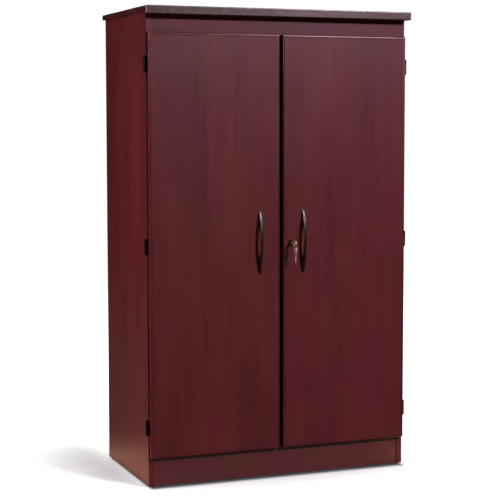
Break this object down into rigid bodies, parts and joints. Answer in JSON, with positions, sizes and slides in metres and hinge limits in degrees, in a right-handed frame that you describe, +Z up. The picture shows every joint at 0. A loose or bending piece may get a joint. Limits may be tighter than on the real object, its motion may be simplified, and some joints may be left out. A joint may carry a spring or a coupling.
{
  "type": "computer armoire",
  "caption": "Closed two-door computer armoire with an overhanging top, bead-edged doors, arched handles, a cam lock with keys, and a desk shelf, tray and bays inside.",
  "frame": {"origin": "bottom centre of the whole object's box, on the floor, with the keys and handles counted in its depth", "axes": "+Z up, -Y is the front with the doors, +X is the right-hand side seen from the front"},
  "size_m": [0.816, 0.4653, 1.353],
  "materials": {
    "cherry_board": "dark red cherry laminate with fine grain, satin",
    "cherry_door": "dark red cherry laminate foil over moulded board, satin",
    "hardboard": "raw hardboard, printed cherry on its inner side",
    "black_steel": "black painted sheet steel, satin",
    "pewter_black": "black pewter plating, semi-gloss",
    "black_screw": "black zinc screws",
    "zinc_steel": "zinc-plated steel",
    "zinc_casting": "die-cast zinc",
    "white_epoxy_steel": "white epoxy-coated steel",
    "white_nylon": "white nylon",
    "clear_rubber": "milky clear polyurethane",
    "black_plastic": "black moulded plastic",
    "brown_plastic": "brown moulded plastic",
    "beech": "fluted beech dowel",
    "bolt_steel": "brassed steel, dull",
    "lock_bronze": "antique bronze plating",
    "lock_brass": "brass",
    "key_brass": "stamped brass",
    "ring_steel": "antiqued steel wire"
  },
  "bodies": {
    "case": {"left_side_panel": "cherry_board", "right_side_panel": "cherry_board", "top_panel": "cherry_board", "bottom_panel": "cherry_board", "front_plinth": "cherry_board", "rear_plinth": "cherry_board", "frieze_rail": "cherry_board", "desk_shelf": "cherry_board", "lower_shelf": "cherry_board", "upper_shelf": "cherry_board", "printer_shelf": "cherry_board", "tower_divider": "cherry_board", "upper_back_panel": "hardboard", "lower_back_panel": "hardboard", "keyboard_tray": "cherry_board", "left_runner_case_rail": "white_epoxy_steel", "right_runner_case_rail": "white_epoxy_steel", "left_runner_tray_rail": "white_epoxy_steel", "right_runner_tray_rail": "white_epoxy_steel", "runner_rollers": "white_nylon", "runner_screws": "zinc_steel", "cable_grommet": "black_plastic", "shelf_pins": "zinc_steel", "cam_lock_discs": "zinc_casting", "cam_lock_bolts": "zinc_casting", "wood_dowels": "beech", "back_nails": "zinc_steel", "floor_glides": "brown_plastic", "left_hinge_case_leaves": "black_steel", "right_hinge_case_leaves": "black_steel", "left_hinge_pins": "black_steel", "right_hinge_pins": "black_steel", "hinge_case_screws": "black_screw", "bolt_bush": "bolt_steel", "magnetic_catches": "brown_plastic", "catch_screws": "zinc_steel", "door_bumpers": "clear_rubber"},
    "left_door": {"left_door": "cherry_door", "left_hinge_door_leaves": "black_steel", "left_hinge_door_screws": "black_screw", "left_handle": "pewter_black", "left_handle_screws": "zinc_steel", "left_catch_plate": "zinc_steel", "bolt_plate": "bolt_steel", "bolt_plate_screws": "zinc_steel"},
    "right_door": {"right_door": "cherry_door", "right_hinge_door_leaves": "black_steel", "right_hinge_door_screws": "black_screw", "right_handle": "pewter_black", "right_handle_screws": "zinc_steel", "right_catch_plate": "zinc_steel", "lock_housing": "lock_bronze", "lock_nut": "zinc_casting"},
    "bolt_rod": {"bolt_rod": "bolt_steel"},
    "lock_plug": {"lock_plug": "lock_brass", "lock_cam": "zinc_steel", "lock_cam_screw": "zinc_steel"},
    "lock_key": {"lock_key": "key_brass"},
    "key_ring": {"key_ring": "ring_steel"},
    "spare_key": {"spare_key": "key_brass"}
  },
  "joints": [
    {"name": "left_door_hinge", "type": "hinge", "parent": "case", "child": "left_door", "pos_m": [-0.4041, -0.1795, 0.684], "axis": [0, 0, -1], "range_deg": [0, 180]},
    {"name": "right_door_hinge", "type": "hinge", "parent": "case", "child": "right_door", "pos_m": [0.4041, -0.1795, 0.684], "axis": [0, 0, 1], "range_deg": [0, 180]},
    {"name": "bolt_slide", "type": "slide", "parent": "left_door", "child": "bolt_rod", "axis": [0, 0, 1], "range_m": [0, 0.012]},
    {"name": "lock_turn", "type": "hinge", "parent": "right_door", "child": "lock_plug", "pos_m": [0.031, -0.1954, 0.684], "axis": [0, 1, 0], "range_deg": [0, 90]},
    {"name": "key_withdraw", "type": "slide", "parent": "lock_plug", "child": "lock_key", "axis": [0, -1, 0], "range_m": [0, 0.02]},
    {"name": "key_ring_hang", "type": "hinge", "parent": "lock_key", "child": "key_ring", "pos_m": [0.031, -0.2254, 0.678], "axis": [0, 1, 0], "range_deg": [-90, 0]},
    {"name": "spare_key_swing", "type": "hinge", "parent": "key_ring", "child": "spare_key", "pos_m": [0.031, -0.2254, 0.6699], "axis": [1, 0, 0], "range_deg": [-35, 30]}
  ],
  "couplings": [
    {"joint": "key_ring_hang", "follows": "lock_turn", "ratio": -1}
  ]
}
